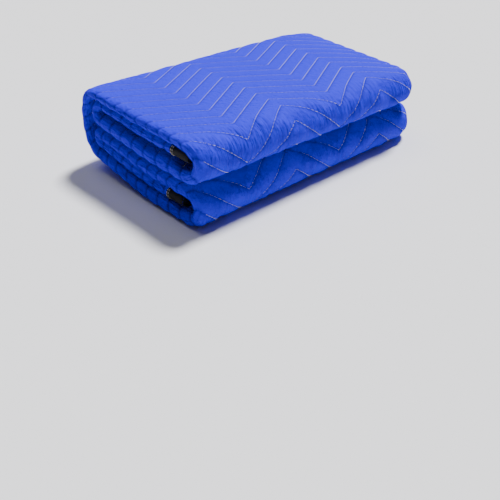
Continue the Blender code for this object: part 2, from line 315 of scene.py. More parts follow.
class BlanketColours(bpy.types.PropertyGroup):
    """Colours of the fabrics, threads and floor."""

    cloth: colour("Cloth", "Royal blue of the woven polyester", "#2A1EF5")
    thread: colour("Quilting thread", "White polyester thread", "#F4F8FF")
    tape: colour("Tape", "Black woven binding tape", "#0B0B0F")
    tape_thread: colour("Tape thread", "Pale grey thread on the tapes", "#B9B4A6")
    floor: colour("Floor", "Pale studio floor", "#EEEEF1")


def rows_of(columns, table):
    """Each row of a table as values by column name."""
    return [dict(zip(columns, row)) for row in table]


PANEL_ROWS = rows_of(PANEL_COLUMNS, PANELS)
TURN_ROWS = rows_of(TURN_COLUMNS, TURNS)


def smooth(t):
    """A step from 0 to 1 with level ends: t * t * (3 - 2 t)."""
    t = np.clip(t, 0.0, 1.0)
    return t * t * (3.0 - 2.0 * t)


def even_steps(y, z, count):
    """The line through y, z as count + 1 points at even steps of length, and its length."""
    along = np.concatenate([[0.0], np.cumsum(np.hypot(np.diff(y), np.diff(z)))])
    at = np.linspace(0.0, along[-1], count + 1)
    return np.interp(at, along, y), np.interp(at, along, z), along[-1]


def height(panel, side, across):
    """The height of a panel's middle where it meets a turn on this side."""
    if side > 0:
        return panel["back"]
    pinch = float(smooth((across - PINCH_FROM) / (1.0 - PINCH_FROM)))
    front = panel["front_left"] + across * (panel["front_right"] - panel["front_left"])
    return front + pinch * panel["pinch"]


def turn_line(turn, before, after, across):
    """Half a superellipse: its y and z are sine and cosine raised to 2 / square."""
    centre = turn["reach"] - turn["side"] * turn["depth"]
    first = height(before, turn["side"], across)
    last = height(after, turn["side"], across)
    angle = np.linspace(0.0, math.pi, TURN_POINTS)
    power = 2.0 / turn["square"]
    swing = np.sign(np.cos(angle)) * np.abs(np.cos(angle)) ** power
    y = centre + turn["side"] * turn["depth"] * np.abs(np.sin(angle)) ** power
    z = (first + last) / 2 + (first - last) / 2 * swing
    y[-1] = centre
    return y, z


def section_lines(across):
    """The middle line of the strip as one (y, z) line for each panel and turn in order.

    A panel is a straight line from the turn before it, or from the strip's end, to the turn after it."""
    turns = [
        turn_line(turn, PANEL_ROWS[i], PANEL_ROWS[i + 1], across) for i, turn in enumerate(TURN_ROWS)
    ]
    lines = []
    for i, panel in enumerate(PANEL_ROWS):
        if i == 0:
            start = (UPPER_END_Y, height(panel, -1, across))
        else:
            start = (turns[i - 1][0][-1], turns[i - 1][1][-1])
        if i == len(TURN_ROWS):
            end = (LOWER_END_Y, height(panel, -1, across))
        else:
            end = (turns[i][0][0], turns[i][1][0])
        lines.append((np.array([start[0], end[0]]), np.array([start[1], end[1]])))
        if i < len(TURN_ROWS):
            lines.append(turns[i])
    return lines


MID_LENGTHS = [even_steps(y, z, 1)[2] for y, z in section_lines(0.5)]
STEPS = [max(4, round(size / MIDLINE_STEP)) for size in MID_LENGTHS]
ENDS = np.concatenate([[0.0], np.cumsum(MID_LENGTHS)])
TOTAL = ENDS[-1]
ALONG = np.concatenate(
    [np.linspace(ENDS[i], ENDS[i + 1], count + 1)[:-1] for i, count in enumerate(STEPS)] + [[TOTAL]]
)
MIDDLE_OF_TOP = (ENDS[4] + ENDS[5]) / 2


def midline(across):
    """y, z and the unit normal towards the strip's outer side, at each value of ALONG."""
    y, z = [], []
    for (line_y, line_z), count in zip(section_lines(across), STEPS):
        even_y, even_z, _ = even_steps(line_y, line_z, count)
        y.append(even_y[:-1])
        z.append(even_z[:-1])
    y = np.concatenate(y + [even_y[-1:]])
    z = np.concatenate(z + [even_z[-1:]])
    step_y = np.gradient(y)
    step_z = np.gradient(z)
    size = np.hypot(step_y, step_z)
    return np.array([y, z, -step_z / size, step_y / size])


MIDLINES = np.array([midline(i / ACROSS_STEPS) for i in range(ACROSS_STEPS + 1)])


def along_strip(column):
    """A panel and turn column as a smooth function of the distance along the strip."""
    at, value = [], []
    for i, panel in enumerate(PANEL_ROWS):
        if column in panel:
            at += [ENDS[2 * i], ENDS[2 * i + 1]]
            value += [panel[column]] * 2
        if i < len(TURN_ROWS) and column in TURN_ROWS[i]:
            at.append((ENDS[2 * i + 1] + ENDS[2 * i + 2]) / 2)
            value.append(TURN_ROWS[i][column])
    return lambda s: np.interp(s, at, value)


panel_thickness = along_strip("thick")
left_end = along_strip("left")
right_end = along_strip("right")
chevron_share = along_strip("chevron")


def taped(s):
    """1 where an end tape covers the strip and 0 beyond it, with a smooth step between."""
    from_end = np.minimum(s, TOTAL - s)
    return 1.0 - smooth((from_end - BINDING_WIDTH + TAPED_EARLY) / TAPED_STEP)


def thickness(s):
    """The strip's thickness: its panel's, a little less under an end tape."""
    return panel_thickness(s) * (1.0 - TAPE_SQUEEZE * taped(s))


def chevron(u):
    """A triangle wave over the cloth's width: how far a sewn line is moved along the strip at u."""
    phase = np.abs((u - CHEVRON_PEAK_X) / CHEVRON_HALF_PERIOD) % 2.0
    return CHEVRON_RISE / 2 * (1.0 - 2.0 * np.minimum(phase, 2.0 - phase))


def settle(x, y, z):
    """The fold leans down to the right, crowns, lifts under one corner, and draws in at its corners.

    z is scaled by 1 - lean * across - more at the right edge, then by 1 + crown * (two parabolas), and is
    raised by a product of smooth steps at one corner. y moves inwards by parabolas at the corners."""
    across = (x - LEFT_X) / LENGTH
    edge = np.clip((across - SINK_EDGE_FROM) / (1.0 - SINK_EDGE_FROM), 0.0, 1.0) ** 2
    z = z * (1.0 - SINK_TO_RIGHT * across - SINK_AT_EDGE * edge)
    middle = np.clip(1.0 - (2.0 * across - 1.0) ** 2, 0.0, 1.0)
    middle = middle * np.clip(1.0 - (y / HALF_WIDTH) ** 2, 0.0, 1.0)
    z = z * (1.0 + CROWN * middle)
    near_left = (x - CORNER_LIFT_X[0]) / (CORNER_LIFT_X[1] - CORNER_LIFT_X[0])
    near_spine = (y - CORNER_LIFT_Y[0]) / (CORNER_LIFT_Y[1] - CORNER_LIFT_Y[0])
    room = np.clip(1.0 - z / CORNER_LIFT_TOP, 0.0, 1.0)
    z = z + CORNER_LIFT * smooth(near_left) * smooth(near_spine) * room
    from_left = (x - LEFT_X) / SPINE_TAPER_REACH
    from_right = (LEFT_X + LENGTH - x) / SPINE_TAPER_REACH
    spine = SPINE_TAPER_LEFT * np.clip(1.0 - from_left, 0.0, 1.0) ** 2
    spine = spine + SPINE_TAPER_RIGHT * np.clip(1.0 - from_right, 0.0, 1.0) ** 2
    spine = spine * np.clip(y / HALF_WIDTH, 0.0, 1.0)
    from_end = (LEFT_X + LENGTH - x) / BULGE_TAPER_REACH
    outward = np.clip((-y - BULGE_TAPER_FROM) / (HALF_WIDTH - BULGE_TAPER_FROM), 0.0, 1.0)
    bulge = BULGE_TAPER * np.clip(1.0 - from_end, 0.0, 1.0) ** 2 * outward
    return np.stack([x, y - spine + bulge, z], axis=-1)


def strip_point(s, x, rise):
    """Places in space: the middle line at s and x, moved by rise along its normal, then settled.

    The middle lines are a table over across and s, read with linear steps in both."""
    s, x, rise = np.broadcast_arrays(s, x, rise)
    column = np.clip((x - LEFT_X) / LENGTH, 0.0, 1.0) * ACROSS_STEPS
    low = np.minimum(column.astype(int), ACROSS_STEPS - 1)
    part = column - low
    after = np.clip(np.searchsorted(ALONG, s, side="right"), 1, len(ALONG) - 1)
    share = np.clip((s - ALONG[after - 1]) / (ALONG[after] - ALONG[after - 1]), 0.0, 1.0)

    def read(k):
        """Column k of the table of middle lines, with linear steps across and along."""
        here = MIDLINES[low, k, after - 1] * (1.0 - share) + MIDLINES[low, k, after] * share
        there = MIDLINES[low + 1, k, after - 1] * (1.0 - share) + MIDLINES[low + 1, k, after] * share
        return here * (1.0 - part) + there * part

    y = read(0) + rise * read(2)
    z = read(1) + rise * read(3)
    return settle(x, y, np.maximum(z, 0.0))


# A point of the folded cloth's cross-section is one row of weights:
# x = LEFT left + RIGHT right + THICK_X t + GAP_X g + FIXED_X and rise = THICK_N t + GAP_N g + FIXED_N,
# where left and right are the panel's ends in X, t its thickness and g the gap between two plies.
LEFT, RIGHT, THICK_X, GAP_X, FIXED_X, THICK_N, GAP_N, FIXED_N = range(8)
# Places in X as the first five weights: the middle of the left bends and of the right fold, the cloth's
# edge inside its tape, and just inside and outside the tape's inner edge.
EDGE_SET_IN = 0.0022
TAPE_EDGE_STEP = 0.0010
LEFT_CENTRE = (1.0, 0.0, 0.5, 0.0, 0.0)
FOLD_CENTRE = (0.0, 1.0, -0.25, 0.0, 0.0)
EDGE = (0.0, 1.0, 0.0, 0.0, -EDGE_SET_IN)
TAPE_INNER_EDGE = (0.0, 1.0, 0.0, 0.0, -BINDING_WIDTH + TAPE_EDGE_STEP)
TAPE_OUTSIDE = (0.0, 1.0, 0.0, 0.0, -BINDING_WIDTH - TAPE_EDGE_STEP)


def run(start, end, shares, thick_n, gap_n, fixed_n=0.0):
    """Weights of points between two places in X, at these shares of the way and one rise."""
    shares = np.asarray(shares, float)[:, None]
    across = np.asarray(start) * (1.0 - shares) + np.asarray(end) * shares
    rise = np.tile([thick_n, gap_n, fixed_n], (len(shares), 1))
    return np.hstack([across, rise])


def bend(centre, centre_n, radius, angles):
    """Weights of points on a half circle round centre: x moves by radius * sin and rise by radius * cos.

    radius is (share of t, share of g). Angle 0 is straight up and angles are positive towards -X."""
    angles = np.asarray(angles, float)
    rows = np.tile(np.concatenate([centre, [centre_n, 0.0, 0.0]]), (len(angles), 1))
    rows[:, THICK_X] -= radius[0] * np.sin(angles)
    rows[:, GAP_X] -= radius[1] * np.sin(angles)
    rows[:, THICK_N] += radius[0] * np.cos(angles)
    rows[:, GAP_N] += radius[1] * np.cos(angles)
    return rows


def even(count):
    """Both ends and the inner points of count even steps, as shares."""
    return np.linspace(0.0, 1.0, count + 1)


def arcs(start, end, count):
    """The inner angles of count even steps from start to end."""
    return np.linspace(start, end, count + 1)[1:-1]


# Columns at a fixed X, counted from a peak of the zigzag, and the steps of the other stretches.
RIGHTMOST_COLUMN = 102
LEFTMOST_COLUMN = -66
FIXED_COLUMNS = CHEVRON_PEAK_X + COLUMN_STEP * np.arange(RIGHTMOST_COLUMN, LEFTMOST_COLUMN - 1, -1)
PLAIN_STEPS = 4
FOLD_STEPS = 6
TO_FOLD_STEPS = 3
TO_BEND_STEPS = 2
NOSE_STEPS = 12
INNER_NOSE_STEPS = 5
TIGHT_STEPS = 2
UNDER_COLUMNS = 14
UNDER_REACH = 0.0400
TAPE_PLAIN_STEPS = 5
TAPE_NOSE_STEPS = 6


def outer_face():
    """Weights along the cloth's outer face, from the edge of ply three to the edge of ply four.

    It runs over the top of ply three, inside the inner bend, under ply two, round the right fold, over the
    top of ply one, round the left end and under ply four. Returns the weights, the slice of them that shows
    and the number of the first point with a fixed X."""
    hidden = [
        run(EDGE, TAPE_INNER_EDGE, (0.0, 1.0), 0.0, -0.5, -TAPE_PRESS),
        run(TAPE_OUTSIDE, LEFT_CENTRE, even(PLAIN_STEPS), 0.0, -0.5),
        bend(LEFT_CENTRE, 0.0, (0.0, 0.5), arcs(math.pi, 0.0, TIGHT_STEPS)),
        run(LEFT_CENTRE, FOLD_CENTRE, even(PLAIN_STEPS + 1), 0.0, 0.5),
    ]
    first = (0.0, 0.0, 0.0, 0.0, FIXED_COLUMNS[0])
    last = (0.0, 0.0, 0.0, 0.0, FIXED_COLUMNS[-1])
    to_first = [
        bend(FOLD_CENTRE, 0.25, (0.25, -0.5), -arcs(math.pi, 0.0, FOLD_STEPS)),
        run(FOLD_CENTRE, first, even(TO_FOLD_STEPS)[:-1], 0.5, -0.5),
    ]
    reach = LEFT_CENTRE[:4] + (UNDER_REACH,)
    onward = [
        run((0.0,) * 5, (0.0,) * 4 + (1.0,), FIXED_COLUMNS, 0.5, -0.5),
        run(last, LEFT_CENTRE, even(TO_BEND_STEPS)[1:], 0.5, -0.5),
        bend(LEFT_CENTRE, 0.0, (0.5, -0.5), arcs(0.0, math.pi, NOSE_STEPS)),
        run(LEFT_CENTRE, reach, even(UNDER_COLUMNS), -0.5, 0.5),
    ]
    fourth = [
        run(reach, TAPE_OUTSIDE, even(PLAIN_STEPS - 1)[1:], -0.5, 0.5),
        run(TAPE_INNER_EDGE, EDGE, (0.0, 1.0), -0.5, 0.5, TAPE_PRESS),
    ]
    start = sum(len(part) for part in hidden)
    first_fixed = start + sum(len(part) for part in to_first)
    stop = first_fixed + sum(len(part) for part in onward)
    return np.vstack(hidden + to_first + onward + fourth), slice(start, stop), first_fixed


def inner_face():
    """Weights along the cloth's other face, in the same order as outer_face."""
    return np.vstack([
        run(EDGE, TAPE_INNER_EDGE, (0.0, 1.0), -0.25, 0.5, TAPE_PRESS),
        run(TAPE_OUTSIDE, LEFT_CENTRE, even(PLAIN_STEPS), -0.25, 0.5),
        bend(LEFT_CENTRE, 0.0, (0.25, -0.5), arcs(math.pi, 0.0, INNER_NOSE_STEPS)),
        run(LEFT_CENTRE, FOLD_CENTRE, even(PLAIN_STEPS + 1), 0.25, -0.5),
        bend(FOLD_CENTRE, 0.25, (0.0, 0.5), -arcs(math.pi, 0.0, TIGHT_STEPS)),
        run(FOLD_CENTRE, LEFT_CENTRE, even(PLAIN_STEPS + 1), 0.25, 0.5),
        bend(LEFT_CENTRE, 0.0, (0.25, 0.5), arcs(0.0, math.pi, INNER_NOSE_STEPS + 1)),
        run(LEFT_CENTRE, TAPE_OUTSIDE, even(PLAIN_STEPS), -0.25, -0.5),
        run(TAPE_INNER_EDGE, EDGE, (0.0, 1.0), -0.25, -0.5, -TAPE_PRESS),
    ])


def section(weights, s, gap):
    """x and rise of a section's points from their weights. s and gap are numbers, or rows by columns."""
    left, right, thick = left_end(s), right_end(s), thickness(s)
    w = weights.T
    x = w[LEFT] * left + w[RIGHT] * right + w[THICK_X] * thick + w[GAP_X] * gap + w[FIXED_X]
    rise = w[THICK_N] * thick + w[GAP_N] * gap + w[FIXED_N]
    return x, rise


def developed(weights, origin):
    """Each point's place in the flat cloth's width: its distance along the section at the top's middle.

    Places fall from right to left, and the point numbered origin keeps its own X."""
    x, rise = section(weights, MIDDLE_OF_TOP, PLY_GAP)
    along = -np.concatenate([[0.0], np.cumsum(np.hypot(np.diff(x), np.diff(rise)))])
    return along - along[origin] + x[origin]


def strip_rows():
    """Rows along the strip: each row's distance, channel, number in ROW_SHARES, and whether it shows.

    s = phase + (channel + share) * channel length, with one more row at each end of the strip."""
    first = math.floor(-CHANNEL_PHASE / CHANNEL)
    channels = np.arange(first, math.ceil(TOTAL / CHANNEL) + 1)
    s = (CHANNEL_PHASE + channels[:, None] * CHANNEL + ROW_SHARES * CHANNEL).ravel()
    number = np.repeat(channels, len(ROW_SHARES))
    which = np.tile(np.arange(len(ROW_SHARES)), len(channels))
    middle = s + (0.5 - ROW_SHARES[which]) * CHANNEL
    seen = (middle > ENDS[3] - SHOWS_BEYOND) & (middle < ENDS[6] + SHOWS_BEYOND)
    seen |= (middle > ENDS[7] - SHOWS_BEYOND) & (middle < ENDS[8] + SHOWS_BEYOND)
    inside = (s > ROWS_SET_IN) & (s < TOTAL - ROWS_SET_IN)
    keep = inside & (seen | np.isin(which, HIDDEN_ROWS))
    s, number, which, seen = s[keep], number[keep], which[keep], seen[keep]
    s = np.concatenate([[END_ROW_SET_IN], s, [TOTAL - END_ROW_SET_IN]])
    number = np.concatenate([number[:1], number, number[-1:]])
    which = np.concatenate([[CREST_ROW], which, [CREST_ROW]])
    seen = np.concatenate([[False], seen, [False]])
    return s, number, which, seen


def bridge(first, second, first_at, second_at):
    """Triangles between two open lines of points whose places along them are first_at and second_at.

    Each edge of the first line joins the nearest point of the second, and each edge of the second joins the
    point of the first at which the nearest point changes."""
    middles = (first_at[:-1] + first_at[1:]) / 2
    cuts = (second_at[:-1] + second_at[1:]) / 2
    sign = 1.0 if first_at[-1] > first_at[0] else -1.0
    near = np.searchsorted(sign * cuts, sign * middles)
    fans = np.stack([first[:-1], first[1:], second[near]], axis=1)
    turn = np.searchsorted(near, np.arange(len(second) - 1), side="right")
    closing = np.stack([first[turn], second[1:], second[:-1]], axis=1)
    return np.vstack([fans, closing])


def grid_faces(numbers):
    """Triangles over a grid of point numbers, rows by columns, that isn't closed either way."""
    a, b = numbers[:-1, :-1], numbers[:-1, 1:]
    c, d = numbers[1:, 1:], numbers[1:, :-1]
    one = np.stack([a, b, c], axis=-1).reshape(-1, 3)
    two = np.stack([a, c, d], axis=-1).reshape(-1, 3)
    return np.vstack([one, two])


def put_mesh(name, points, faces, material, uv=None, values=None):
    """A smooth mesh object from arrays of points and of triangles or quads, with UV places and values."""
    mesh = bpy.data.meshes.new(name)
    points = np.ascontiguousarray(points, np.float32)
    faces = np.ascontiguousarray(faces, np.int32)
    size = faces.shape[1]
    mesh.vertices.add(len(points))
    mesh.vertices.foreach_set("co", points.ravel())
    mesh.loops.add(faces.size)
    mesh.loops.foreach_set("vertex_index", faces.ravel())
    mesh.polygons.add(len(faces))
    mesh.polygons.foreach_set("loop_start", np.arange(0, faces.size, size, dtype=np.int32))
    mesh.polygons.foreach_set("use_smooth", np.full(len(faces), True))
    if uv is not None:
        layer = mesh.uv_layers.new(name="UVMap")
        layer.uv.foreach_set("vector", np.ascontiguousarray(uv[faces.ravel()], np.float32).ravel())
    for key, value in (values or {}).items():
        attribute = mesh.attributes.new(key, "FLOAT", "POINT")
        attribute.data.foreach_set("value", np.ascontiguousarray(value, np.float32))
    mesh.update(calc_edges=True)
    mesh.validate()
    mesh.materials.append(material)
    piece = bpy.data.objects.new(name, mesh)
    bpy.context.scene.collection.objects.link(piece)
    return piece


def add_node(tree, kind, settings=None, values=None, links=None):
    """Adds one shader node with its settings, its socket values and the sockets that feed it."""
    made = tree.nodes.new(kind)
    for key, value in (settings or {}).items():
        setattr(made, key, value)
    for key, value in (values or {}).items():
        made.inputs[key].default_value = value
    for key, source in (links or {}).items():
        tree.links.new(source, made.inputs[key])
    return made


def new_material(name, values):
    """A node material whose Principled shader has these values: the material, its tree and the shader."""
    material = bpy.data.materials.new(name)
    material.use_nodes = True
    tree = material.node_tree
    tree.nodes.clear()
    shader = add_node(tree, "ShaderNodeBsdfPrincipled", values=values)
    add_node(tree, "ShaderNodeOutputMaterial", links={"Surface": shader.outputs["BSDF"]})
    return material, tree, shader


def shade(tint, share):
    """A colour times share, which is a number or one for each of red, green and blue, with full alpha."""
    return (*(np.array(tint) * share), 1.0)


def woven_polyester(sizes, colours):
    """Woven polyester, cut from a dyed roll: matt, with a fine relief of yarns and a soft mottling.

    Heights are noise in three sizes: small puckers, creases where the cloth is wrinkled, and the product of
    two waves for the yarns. The colour is a mix by noise, darkened by painted shade in the grooves of the
    sewn lines."""
    material, tree, shader = new_material(
        "woven_polyester",
        {
            "Roughness": 0.66,
            "Specular IOR Level": 0.06,
            "Sheen Weight": 0.02,
            "Sheen Roughness": 0.45,
            "Sheen Tint": (0.10, 0.14, 1.0, 1.0),
        },
    )
    place = add_node(tree, "ShaderNodeUVMap", {"uv_map": "UVMap"}).outputs["UV"]
    # The real yarns lie about 0.4 mm apart. They are drawn 1.1 mm apart, so that the render shows them.
    warp, weft = (
        add_node(
            tree,
            "ShaderNodeTexWave",
            {"wave_type": "BANDS", "bands_direction": direction, "wave_profile": "SIN"},
            {"Scale": WAVE_PITCH / sizes.weave, "Distortion": 0.6, "Detail": 1.0, "Detail Scale": 2.0},
            {"Vector": place},
        )
        for direction in "XY"
    )
    weave = add_node(
        tree,
        "ShaderNodeMath",
        {"operation": "MULTIPLY"},
        links={0: warp.outputs["Fac"], 1: weft.outputs["Fac"]},
    )
    pucker = add_node(
        tree,
        "ShaderNodeTexNoise",
        values={"Scale": 190.0, "Detail": 3.0, "Roughness": 0.55},
        links={"Vector": place},
    )
    puckered = add_node(
        tree,
        "ShaderNodeBump",
        values={"Strength": 1.0, "Distance": 0.0034},
        links={"Height": pucker.outputs["Fac"]},
    )
    # Creases lie 3 to 6 mm apart and run along the strip, so the noise is stretched six times that way.
    stretched = add_node(
        tree,
        "ShaderNodeMapping",
        {"vector_type": "POINT"},
        {"Scale": (210.0, 34.0, 1.0), "Rotation": (0.0, 0.0, 0.20)},
        {"Vector": place},
    )
    crease = add_node(
        tree,
        "ShaderNodeTexNoise",
        values={"Scale": 1.0, "Detail": 2.0, "Roughness": 0.5, "Distortion": 0.6},
        links={"Vector": stretched.outputs["Vector"]},
    )
    creased = add_node(tree, "ShaderNodeAttribute", {"attribute_name": "creased"})
    folds = add_node(
        tree,
        "ShaderNodeMath",
        {"operation": "MULTIPLY"},
        links={0: crease.outputs["Fac"], 1: creased.outputs["Fac"]},
    )
    folded = add_node(
        tree,
        "ShaderNodeBump",
        values={"Strength": 1.0, "Distance": 0.0095},
        links={"Height": folds.outputs["Value"], "Normal": puckered.outputs["Normal"]},
    )
    woven = add_node(
        tree,
        "ShaderNodeBump",
        values={"Strength": 0.30, "Distance": 0.00035},
        links={"Height": weave.outputs["Value"], "Normal": folded.outputs["Normal"]},
    )
    tree.links.new(woven.outputs["Normal"], shader.inputs["Normal"])
    mottle = add_node(
        tree,
        "ShaderNodeTexNoise",
        values={"Scale": 240.0, "Detail": 4.0, "Roughness": 0.7},
        links={"Vector": place},
    )
    shades = add_node(
        tree,
        "ShaderNodeMix",
        {"data_type": "RGBA"},
        {COLOUR_A: shade(colours.cloth, 1.0), COLOUR_B: shade(colours.cloth, CLOTH_PALE)},
        {"Factor": mottle.outputs["Fac"]},
    )
    # Painted shade: the groove attribute darkens the sewn lines and the cloth just before them, where shade
    # falls.
    painted_groove_shade = add_node(tree, "ShaderNodeAttribute", {"attribute_name": "painted_groove_shade"})
    sunk = add_node(
        tree,
        "ShaderNodeMix",
        {"data_type": "RGBA"},
        {COLOUR_B: shade(colours.cloth, CLOTH_PAINTED_SHADE)},
        {"Factor": painted_groove_shade.outputs["Fac"], COLOUR_A: shades.outputs[COLOUR_OUT]},
    )
    tree.links.new(sunk.outputs[COLOUR_OUT], shader.inputs["Base Color"])
    return material


def spun_thread(name, tint, sheen):
    """Spun polyester sewing thread: a bright, slightly fuzzy yarn. One noise gives fuzz and shades."""
    material, tree, shader = new_material(
        name, {"Roughness": 0.55, "Sheen Weight": sheen, "Sheen Roughness": 0.5}
    )
    place = add_node(tree, "ShaderNodeTexCoord").outputs["Object"]
    fuzz = add_node(
        tree,
        "ShaderNodeTexNoise",
        values={"Scale": 2200.0, "Detail": 2.0, "Roughness": 0.5},
        links={"Vector": place},
    )
    relief = add_node(
        tree,
        "ShaderNodeBump",
        values={"Strength": 0.4, "Distance": 0.0002},
        links={"Height": fuzz.outputs["Fac"]},
    )
    shades = add_node(
        tree,
        "ShaderNodeMix",
        {"data_type": "RGBA"},
        {COLOUR_A: shade(tint, THREAD_DEEP), COLOUR_B: shade(tint, 1.0)},
        {"Factor": fuzz.outputs["Fac"]},
    )
    tree.links.new(shades.outputs[COLOUR_OUT], shader.inputs["Base Color"])
    tree.links.new(relief.outputs["Normal"], shader.inputs["Normal"])
    return material


def ribbed_tape(colours):
    """Woven polyester binding tape: near black and rather matt, with ribs across its width and some wear."""
    material, tree, shader = new_material(
        "ribbed_polyester_tape",
        {"Roughness": 0.58, "Specular IOR Level": 0.16, "Sheen Weight": 0.02, "Sheen Roughness": 0.5},
    )
    place = add_node(tree, "ShaderNodeUVMap", {"uv_map": "UVMap"}).outputs["UV"]
    # The real ribs lie about 0.8 mm apart. They are drawn 1.6 mm apart, so that the render shows them.
    ribs = add_node(
        tree,
        "ShaderNodeTexWave",
        {"wave_type": "BANDS", "bands_direction": "X", "wave_profile": "SIN"},
        {"Scale": WAVE_PITCH / TAPE_RIB, "Distortion": 0.8, "Detail": 1.0, "Detail Scale": 3.0},
        {"Vector": place},
    )
    wear = add_node(
        tree,
        "ShaderNodeTexNoise",
        values={"Scale": 90.0, "Detail": 3.0, "Roughness": 0.6},
        links={"Vector": place},
    )
    relief = add_node(
        tree,
        "ShaderNodeBump",
        values={"Strength": 0.5, "Distance": 0.0005},
        links={"Height": ribs.outputs["Fac"]},
    )
    shades = add_node(
        tree,
        "ShaderNodeMix",
        {"data_type": "RGBA"},
        {COLOUR_A: shade(colours.tape, TAPE_DEEP), COLOUR_B: shade(colours.tape, TAPE_PALE)},
        {"Factor": wear.outputs["Fac"]},
    )
    tree.links.new(shades.outputs[COLOUR_OUT], shader.inputs["Base Color"])
    tree.links.new(relief.outputs["Normal"], shader.inputs["Normal"])
    return material


def studio_floor(colours):
    """A matt painted studio floor: nearly white and even, with the faintest grain."""
    material, tree, shader = new_material("matt_paint", {"Roughness": 0.9, "Specular IOR Level": 0.1})
    place = add_node(tree, "ShaderNodeTexCoord").outputs["Object"]
    grain = add_node(
        tree,
        "ShaderNodeTexNoise",
        values={"Scale": 30.0, "Detail": 2.0, "Roughness": 0.5},
        links={"Vector": place},
    )
    shades = add_node(
        tree,
        "ShaderNodeMix",
        {"data_type": "RGBA"},
        {COLOUR_A: shade(colours.floor, FLOOR_DEEP), COLOUR_B: shade(colours.floor, 1.0)},
        {"Factor": grain.outputs["Fac"]},
    )
    tree.links.new(shades.outputs[COLOUR_OUT], shader.inputs["Base Color"])
    return material


def sewn_patch(places):
    """A flat patch of the outer fabric: places in its width and along the strip, and its rows' shares.

    Each row of points follows the zigzag: along = row + chevron(width)."""
    shares = np.append(np.tile(ROW_SHARES, PATCH_CHANNELS), 0.0)
    channels = np.repeat(np.arange(PATCH_CHANNELS + 1), len(ROW_SHARES))[: len(shares)]
    rows = channels * CHANNEL + shares * CHANNEL
    along = rows[:, None] + chevron(places)[None, :]
    return np.broadcast_to(places, along.shape), along, shares


def simulate_quilting(points, sewn):
    """Where the points of one patch come to rest in Blender's cloth simulation.

    The fabric is cut a little too large, sewn down along the channels, and pushed up by the padding."""
    rows, columns = points.shape[:2]
    number = np.arange(rows * columns).reshape(rows, columns)
    corners = (number[:-1, :-1], number[:-1, 1:], number[1:, 1:], number[1:, :-1])
    quads = np.stack(corners, axis=-1).reshape(-1, 4)
    mesh = bpy.data.meshes.new("patch")
    mesh.from_pydata(points.reshape(-1, 3).tolist(), [], quads.tolist())
    patch = bpy.data.objects.new("patch", mesh)
    scene = bpy.context.scene
    scene.collection.objects.link(patch)
    pins = patch.vertex_groups.new(name="sewn")
    pins.add(number[sewn][:, ::2].ravel().tolist(), FIRM_PIN, "REPLACE")
    pins.add(number[sewn][:, 1::2].ravel().tolist(), LOOSE_PIN, "REPLACE")
    cloth = patch.modifiers.new("cloth", "CLOTH")
    for key, value in CLOTH_SETTINGS.items():
        setattr(cloth.settings, key, value)
    cloth.settings.effector_weights.gravity = 0.0
    cloth.collision_settings.use_collision = False
    cloth.collision_settings.use_self_collision = False
    cloth.point_cache.frame_start = 1
    cloth.point_cache.frame_end = CLOTH_FRAMES
    for moment in range(1, CLOTH_FRAMES + 1):
        scene.frame_set(moment)
    settled = patch.evaluated_get(bpy.context.evaluated_depsgraph_get())
    rest = np.zeros(points.size, np.float32)
    settled.data.vertices.foreach_get("co", rest)
    bpy.data.objects.remove(patch)
    bpy.data.meshes.remove(mesh)
    scene.frame_set(1)
    return rest.reshape(points.shape).astype(float)


def quilt_patch(sizes, places):
    """How the outer fabric lies over the padding, for twelve channels of the flat cloth.

    Returns the moves along the width, along the strip and up, as rows by columns by 3. The fabric starts as a
    pillow between two sewn lines: height * sin(pi share) ** 0.7, roughened a little. It is then simulated and
    scaled, so that its crests are as high as the pillow in the mean."""
    width, along, shares = sewn_patch(places[::-1])
    noise = np.random.RandomState(PILLOW_SEED).rand(*along.shape) - 0.5
    rough = PILLOW_ROUGHNESS * noise * (shares > 0)[:, None]
    up = sizes.pillow * np.sin(math.pi * shares)[:, None] ** PILLOW_POWER + rough
    flat = np.stack([width, along, np.zeros(along.shape)], axis=-1)
    points = flat + up[:, :, None] * np.array([0.0, 0.0, 1.0])
    points = simulate_quilting(points, shares == 0)
    moves = points - flat
    crests = moves[CREST_ROW :: len(ROW_SHARES), :, 2]
    moves[:, :, 2] *= sizes.pillow / max(crests.mean(), LEAST_CREST)
    return moves[:-1, ::-1]


def lattice_noise(u, v, seed):
    """Smooth noise from -1 to 1: random values on whole-number places, joined by smooth steps both ways."""
    table = np.random.RandomState(seed).rand(NOISE_PLACES, NOISE_PLACES) * 2.0 - 1.0
    cell_u, cell_v = np.floor(u).astype(int), np.floor(v).astype(int)
    part_u, part_v = smooth(u - cell_u), smooth(v - cell_v)

    def read(step_u, step_v):
        """The random value at one corner of each point's cell."""
        return table[(cell_u + step_u) % NOISE_PLACES, (cell_v + step_v) % NOISE_PLACES]

    low = read(0, 0) * (1.0 - part_u) + read(1, 0) * part_u
    high = read(0, 1) * (1.0 - part_u) + read(1, 1) * part_u
    return low * (1.0 - part_v) + high * part_v


def at_bend(u):
    """1 round the left bend and 0 on the plies, with a smooth step 20 mm long."""
    return smooth((LEFT_X + BEND_REACH - u) / BEND_STEP)


def wrinkled(s, u):
    """How much the cloth is wrinkled: in clusters on the bulges and the spine, and at the left bends.

    On a turn it is strength * smooth((place - low) / fade) * smooth((high - place) / fade) * clusters, with
    place from 0 to 1 over the turn and clusters = smooth(0.6 + 0.8 noise). The largest value counts."""
    share = np.zeros(np.broadcast(s, u).shape)
    for turn, strength, low, high in WRINKLED_TURNS:
        first, size = ENDS[2 * turn + 1], MID_LENGTHS[2 * turn + 1]
        place = (s - first) / size
        rising = smooth((place - low) / WRINKLED_FADE)
        falling = smooth((high - place) / WRINKLED_FADE)
        share = np.maximum(share, strength * rising * falling)
    noise = lattice_noise(u / CLUSTER_WIDTH, s / CLUSTER_LENGTH, CLUSTER_SEED)
    clusters = smooth(CLUSTER_MEAN + CLUSTER_SWING * noise)
    return np.maximum(share * clusters, WRINKLED_AT_BEND * at_bend(u))


